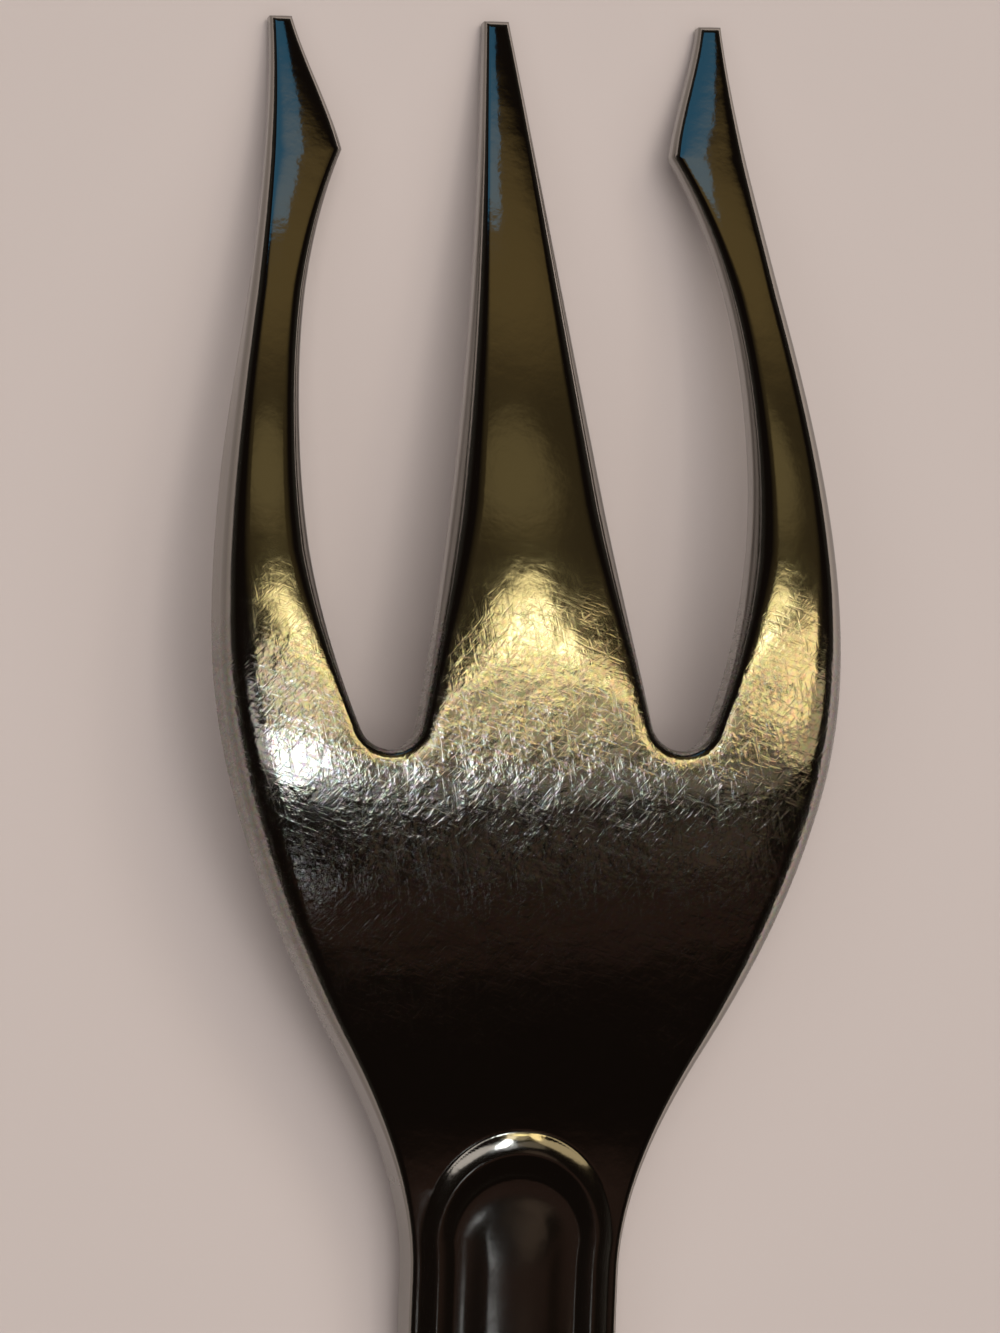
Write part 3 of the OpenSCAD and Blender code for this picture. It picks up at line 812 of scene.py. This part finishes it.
# Roughness by place, as ramps in mm from the tips, and what each kind of wear adds to it.
TIP_ROUGH, HANDLE_ROUGH = (5.0, 16.0, 0.06, 0.09), (37.0, 41.0, 0.0, 0.07)
BELT_ROUGH, STROKE_ROUGH, MARK_ROUGH, NICK_ROUGH, SIDE_ROUGH = 0.03, 0.12, 0.25, 0.35, 0.15

RELIEF_HEIGHT = 0.006 * MM
SIDE_SHADE, GLITTER = 0.38, 0.3  # painted shade on the side walls, whose colour is darkened to this share of the steel's; most of the glitter in the belt
# Painted glint: the scratches' colour is blended toward this pale near-white by their depth, on
# top of the roughness they add.
MARK_SHINE, MARK_GLINT_COLOUR = 0.7, (0.9, 0.9, 0.92, 1.0)


def band(nodes, place, limits):
    """One inside a band of places and nothing outside it."""
    start, full, hold, end = limits
    return nodes.times(nodes.ramp(place, start, full), nodes.ramp(place, hold, end, 1.0, 0.0))


def steel_marks(nodes, mm, reach, worn):
    """Depth of the scratches, and the nicks among them: the deepest of broken hairlines, short
    arcs in their band and nicks in theirs."""
    hairs = None
    for layer, depth in HAIRLINES:
        hairs = nodes.most(hairs, nodes.times(depth, scratches(nodes, mm, *layer)))
    broken = nodes.ramp(nodes.noise(mm, *BREAK_NOISE), *BREAKS)
    marks = nodes.times(nodes.times(hairs, broken), worn)
    arcs = nodes.times(scratches(nodes, mm, *ARCS), band(nodes, reach, ARC_BAND))
    nicks = nodes.times(scratches(nodes, mm, *NICKS), band(nodes, reach, NICK_BAND))
    marks = nodes.most(marks, nodes.times(arcs, ARC_DEPTH))
    return nodes.most(marks, nodes.times(nicks, NICK_DEPTH)), nicks


def polish_strokes(nodes, mm):
    """Broad strokes in three directions: the strongest of noises drawn out along each."""
    strokes = None
    for angle, stretch in STROKES:
        drawn = nodes.vector("MULTIPLY", nodes.turned(mm, angle), stretch)
        strokes = nodes.most(strokes, nodes.ramp(nodes.noise(drawn, *STROKE_NOISE), *STROKE_EDGES))
    return strokes


def steel_relief(nodes, mm, belt, marks, lines):
    """Height of the surface: ripple and patchy grain, less the scratches and the strokes."""
    ripple = nodes.math("MULTIPLY_ADD", nodes.noise(mm, *BROAD_RIPPLE),
                        nodes.math("MULTIPLY_ADD", belt, BELT_RIPPLE, 1.0),
                        nodes.noise(mm, *FINE_RIPPLE))
    patches = nodes.ramp(nodes.noise(mm, *PATCH_NOISE), *PATCHES)
    weight = nodes.math("MULTIPLY_ADD", nodes.times(belt, belt), patches, CLEAN_GRAIN)
    grit = nodes.times(nodes.noise(mm, *GRAIN_NOISE), weight)
    return nodes.math("SUBTRACT", nodes.math("ADD", ripple, grit), nodes.math("ADD", marks, lines))


def worn_steel(context):
    """Polished stainless steel: a soft mirror with a faint ripple from polishing, hairline
    scratches everywhere and a belt of heavier ones over the belly of the palm. The upright
    side walls get a darker colour as painted shade, and the scratches a paler one as painted
    glint."""
    found = bpy.data.materials.get("polished_steel_worn")
    if found:
        return found
    material, nodes = new_material("polished_steel_worn")
    steel, size = context.scene.oyster_fork_looks.steel, context.scene.oyster_fork_sizes
    place = nodes.add("TexCoord").outputs["Object"]
    mm = nodes.vector("SCALE", place, 1 / MM)
    y = nodes.add("SeparateXYZ", {0: mm}).outputs["Y"]
    from_tip = nodes.math("SUBTRACT", size.fork_length / 2 / MM, y)
    wander = nodes.times(nodes.noise(mm, *WANDER_NOISE), WANDER)
    reach = nodes.math("ADD", from_tip, nodes.math("SUBTRACT", wander, WANDER / 2))
    belt = band(nodes, reach, WEAR_BAND)
    worn = nodes.math("MULTIPLY_ADD", belt, 1 - LIGHT_WEAR, LIGHT_WEAR)
    # side is one on the upright walls; it roughens them and darkens them as painted shade.
    side = nodes.add("Attribute", attribute_name="side").outputs["Fac"]
    marks, nicks = steel_marks(nodes, mm, reach, worn)
    strokes = nodes.times(polish_strokes(nodes, mm), worn)

    rough = nodes.math("ADD", nodes.ramp(from_tip, *TIP_ROUGH),
                       nodes.ramp(from_tip, *HANDLE_ROUGH))
    for share, amount in ((belt, BELT_ROUGH), (strokes, STROKE_ROUGH), (marks, MARK_ROUGH),
                          (nicks, NICK_ROUGH), (side, SIDE_ROUGH)):
        rough = nodes.math("MULTIPLY_ADD", share, amount, rough, clamp=True)
    relief = steel_relief(nodes, mm, belt, marks, nodes.times(strokes, STROKE_DEPTH))
    bump = nodes.add("Bump", {
        "Strength": 1.0, "Distance": RELIEF_HEIGHT, "Height": relief})

    # Painted shade: the upright side walls take a darker copy of the steel colour.
    colour = nodes.blend(side, (*steel, 1.0), (*(c * SIDE_SHADE for c in steel), 1.0))
    glitter = nodes.add("TexNoise", {
        "Vector": mm, "Scale": GLITTER_SCALE, "Detail": 1.0}).outputs["Color"]
    colour = nodes.blend(nodes.times(belt, GLITTER), colour, glitter, "OVERLAY")
    # Painted glint: the scratches get a paler colour than the steel.
    shine = nodes.math("MULTIPLY", marks, MARK_SHINE, clamp=True)
    shader = nodes.add("BsdfPrincipled", {
        "Base Color": nodes.blend(shine, colour, MARK_GLINT_COLOUR), "Metallic": 1.0,
        "Roughness": rough, "Normal": bump.outputs[0]})
    out = nodes.add("OutputMaterial", {"Surface": shader.outputs[0]})
    out.is_active_output = True
    return material


class OYSTERFORK_OT_outer_tines(bpy.types.Operator):
    """The two barbed outer tines"""
    bl_idname = "oyster_fork.outer_tines"
    bl_label = "Outer tines"

    def execute(self, context):
        for name in OUTER_TINES:
            steel_piece(context, name)
        return {"FINISHED"}


class OYSTERFORK_OT_middle_tine(bpy.types.Operator):
    """The straight middle tine"""
    bl_idname = "oyster_fork.middle_tine"
    bl_label = "Middle tine"

    def execute(self, context):
        steel_piece(context, "middle_tine")
        return {"FINISHED"}


class OYSTERFORK_OT_palm(bpy.types.Operator):
    """The palm, from the closed ends of the gaps to the neck"""
    bl_idname = "oyster_fork.palm"
    bl_label = "Palm"

    def execute(self, context):
        steel_piece(context, "palm")
        return {"FINISHED"}


class OYSTERFORK_OT_handle(bpy.types.Operator):
    """The handle with its thread bead"""
    bl_idname = "oyster_fork.handle"
    bl_label = "Handle"

    def execute(self, context):
        steel_piece(context, "handle")
        return {"FINISHED"}


HEAD_AT = (0.0, 0.05, 0.006)  # what the lamps face


def upright(facing):
    """The turn of a lamp or camera with its back to facing and its top leaning toward +Y."""
    up = mathutils.Vector((0, 1, 0))
    up = (up - facing * facing.dot(up)).normalized()
    return mathutils.Matrix((up.cross(facing), up, facing)).transposed().to_euler()


def lamp(context, name, at, span, away, colour, level, shape="ELLIPSE", seen=True):
    """A flat lamp that faces the fork's head. Its place and size are in degrees across and
    along, and a level of 1 is white."""
    wide, tall = (2 * away * math.tan(math.radians(angle / 2)) for angle in span)
    across, along = (math.tan(math.radians(angle)) for angle in at)
    facing = mathutils.Vector((across, along, 1.0)).normalized()
    light = bpy.data.lights.new(name, "AREA")
    light.shape, light.size, light.size_y = shape, wide, tall
    light.color = colour
    light.energy = level * math.pi * wide * tall * (math.pi / 4 if shape == "ELLIPSE" else 1.0)
    holder = bpy.data.objects.new(name, light)
    holder.location = mathutils.Vector(HEAD_AT) + facing * away
    holder.rotation_euler = upright(facing)
    holder.visible_glossy = seen
    context.scene.collection.objects.link(holder)


# Lamps that the steel mirrors: name, place and span in degrees, distance, colour and level,
# and an outline unless an ellipse.
LAMPS = (
    ("key", (9.9, 18.2), (9.2, 13.4), 0.6, (1.0, 0.84, 0.38), 1.7),
    ("key_core", (10.5, 19.5), (3.4, 3), 0.55, (1.0, 0.91, 0.64), 3.3),
    ("key_left", (3.5, 9.5), (7, 14), 0.6, (1.0, 0.86, 0.55), 1.2),
    ("key_low", (18.8, 12), (8, 17), 0.6, (1.0, 0.78, 0.36), 1.7),
    ("glow", (9.3, 7.5), (8, 11), 0.6, (1.0, 0.84, 0.48), 0.36),
    ("belly", (14, -4), (13, 9), 0.6, (1.0, 0.84, 0.58), 0.13),
    ("window_foot", (5, -7), (7, 9), 0.6, (0.95, 0.98, 1.0), 0.34),
    ("window", (1.3, -1), (7.8, 11), 0.6, (0.92, 0.98, 1.0), 4.0),
    ("screen", (-9.8, 61.3), (23, 10), 0.5, (0.14, 0.57, 1.0), 0.17, "RECTANGLE"),
    ("side_left", (-18, -1), (32, 11), 0.6, (1.0, 0.94, 0.88), 0.6),
    ("side_right", (36, 3), (36, 12), 0.6, (1.0, 0.8, 0.45), 0.5),
    ("streak", (0.5, -26.5), (3, 4), 0.6, (0.9, 0.95, 1.0), 0.6, "RECTANGLE"),
)

# Broad lamps that light the floor and that the steel doesn't mirror.
DAYLIGHT = (
    ("fill", (16, 20), (19, 19), 0.9, (1.0, 0.94, 0.87), 4.1),
    ("overhead", (-2, 2), (24, 24), 1.0, (1.0, 0.96, 0.90), 10.2),
    ("sky", (0, 0), (77, 77), 1.0, (1.0, 0.97, 0.95), 0.8),
)

# Soft glows of the room: place in degrees, reach as tangents of angles, colour and level.
GLOWS = (
    ((12, 53), (0.36, 0.36), (1.0, 0.68, 0.24), 0.075),
    ((9.5, 35), (0.14, 0.15), (1.0, 0.77, 0.32), 0.10),
    ((12, 43), (0.50, 0.62), (1.0, 0.72, 0.26), 0.032),
    ((15, -31), (0.60, 0.12), (1.0, 0.52, 0.38), 0.017),
    ((15, -19), (0.09, 0.12), (1.0, 0.70, 0.50), 0.05),
)
GLOW_FULL, GLOW_END = 0.5, 1.4  # shares of its reach where a glow starts to fade and ends
BAND_TOP, CEILING_FROM = 0.1, 0.5  # heights of a direction where the band and the ceiling stop
BAND_COLOUR, CEILING_COLOUR = (0.025, 0.022, 0.018, 1.0), (0.006, 0.004, 0.003, 1.0)


def room():
    """The world: a dark ceiling over a paler band round the horizon, with a few soft glows."""
    world = bpy.data.worlds.new("room")
    world.use_nodes = True
    nodes = Nodes(world.node_tree)
    way = nodes.add("TexCoord").outputs["Generated"]
    x, y, z = nodes.add("SeparateXYZ", {0: way}).outputs
    total = nodes.blend(nodes.ramp(z, BAND_TOP, CEILING_FROM), BAND_COLOUR, CEILING_COLOUR)
    up = nodes.math("MAXIMUM", z, BAND_TOP)
    across, along = nodes.math("DIVIDE", x, up), nodes.math("DIVIDE", y, up)
    for (a, b), (wide, tall), colour, level in GLOWS:
        u = nodes.math("DIVIDE", nodes.math("SUBTRACT", across, math.tan(math.radians(a))), wide)
        v = nodes.math("DIVIDE", nodes.math("SUBTRACT", along, math.tan(math.radians(b))), tall)
        off = nodes.math("SQRT", nodes.math("MULTIPLY_ADD", u, u, nodes.times(v, v)))
        share = nodes.ramp(off, GLOW_FULL, GLOW_END, level, 0.0)
        total = nodes.vector("ADD", total, nodes.vector("SCALE", colour, share))
    nodes.put(nodes.tree.nodes["Background"].inputs["Color"], total)
    return world


FLOOR_HALF, FLOOR_DROP, FLOOR_ROUGH = 1.5, 0.02 * MM, 0.95


def lay_floor(context):
    """A plain pale floor, a hair below the fork."""
    mesh = bpy.data.meshes.new("floor")
    half, z = FLOOR_HALF, -FLOOR_DROP
    corners = [(-half, -half, z), (half, -half, z), (half, half, z), (-half, half, z)]
    mesh.from_pydata(corners, [], [(0, 1, 2, 3)])
    floor = bpy.data.objects.new("floor", mesh)
    context.scene.collection.objects.link(floor)
    material, nodes = new_material("pale_floor")
    shader = nodes.add("BsdfPrincipled", {
        "Base Color": (*context.scene.oyster_fork_looks.cloth, 1.0), "Roughness": FLOOR_ROUGH})
    nodes.add("OutputMaterial", {"Surface": shader.outputs[0]})
    mesh.materials.append(material)


VIEW_AT = (-0.62 * MM, 21.97 * MM, 5.0 * MM)  # to the side, back from the tips, up
VIEW_AWAY, VIEW_LEFT, VIEW_BACK = 0.200, math.radians(10.0), math.radians(3.0)
VIEW_ROWS, VIEW_ROW = 1333.0, 0.0328 * MM  # rows of the photo and the height that one covers
SENSOR, NEAR, FAR = 36.0, 0.01, 10.0


def set_camera(context):
    """The camera, above the head and a little to the left, where the photo was taken."""
    scene = context.scene
    data = bpy.data.cameras.new("camera")
    data.sensor_fit, data.sensor_height = "VERTICAL", SENSOR
    data.lens = SENSOR * (VIEW_AWAY / VIEW_ROW) / VIEW_ROWS
    data.clip_start, data.clip_end = NEAR, FAR
    camera = bpy.data.objects.new("camera", data)
    away = mathutils.Vector((-math.sin(VIEW_LEFT), -math.sin(VIEW_BACK) * math.cos(VIEW_LEFT),
                             math.cos(VIEW_LEFT) * math.cos(VIEW_BACK)))
    x, back, z = VIEW_AT
    target = mathutils.Vector((x, scene.oyster_fork_sizes.fork_length / 2 - back, z))
    camera.location = target + away * VIEW_AWAY
    camera.rotation_euler = upright(away)
    scene.collection.objects.link(camera)
    scene.camera = camera


class OYSTERFORK_OT_stage(bpy.types.Operator):
    """The floor, the lamps and the camera"""
    bl_idname = "oyster_fork.stage"
    bl_label = "Stage"

    def execute(self, context):
        lay_floor(context)
        context.scene.world = room()
        for row in LAMPS:
            lamp(context, *row)
        for row in DAYLIGHT:
            lamp(context, *row, "RECTANGLE", seen=False)
        context.scene.view_settings.view_transform = "Standard"
        set_camera(context)
        return {"FINISHED"}


class OYSTERFORK_PT_panel(bpy.types.Panel):
    """The fork's pieces and sizes"""
    bl_idname = "OYSTERFORK_PT_panel"
    bl_label = "Oyster fork"
    bl_space_type = "VIEW_3D"
    bl_region_type = "UI"
    bl_category = "Oyster fork"

    def draw(self, context):
        for step in STEPS:
            self.layout.operator(step.bl_idname)
        for group in (context.scene.oyster_fork_sizes, context.scene.oyster_fork_looks):
            for name in group.__annotations__:
                self.layout.prop(group, name)


STEPS = (OYSTERFORK_OT_stage, OYSTERFORK_OT_outer_tines, OYSTERFORK_OT_middle_tine,
         OYSTERFORK_OT_palm, OYSTERFORK_OT_handle)
CLASSES = (OysterForkSizes, OysterForkLooks) + STEPS + (OYSTERFORK_PT_panel,)


def register():
    """Adds the classes and the two groups of settings."""
    for cls in CLASSES:
        bpy.utils.register_class(cls)
    bpy.types.Scene.oyster_fork_sizes = bpy.props.PointerProperty(type=OysterForkSizes)
    bpy.types.Scene.oyster_fork_looks = bpy.props.PointerProperty(type=OysterForkLooks)


def unregister():
    """Takes them away again."""
    del bpy.types.Scene.oyster_fork_looks
    del bpy.types.Scene.oyster_fork_sizes
    for cls in reversed(CLASSES):
        bpy.utils.unregister_class(cls)


def main():
    """Builds the stage and the fork."""
    register()
    bpy.ops.oyster_fork.stage()
    bpy.ops.oyster_fork.outer_tines()
    bpy.ops.oyster_fork.middle_tine()
    bpy.ops.oyster_fork.palm()
    bpy.ops.oyster_fork.handle()


if __name__ == "__main__":
    main()
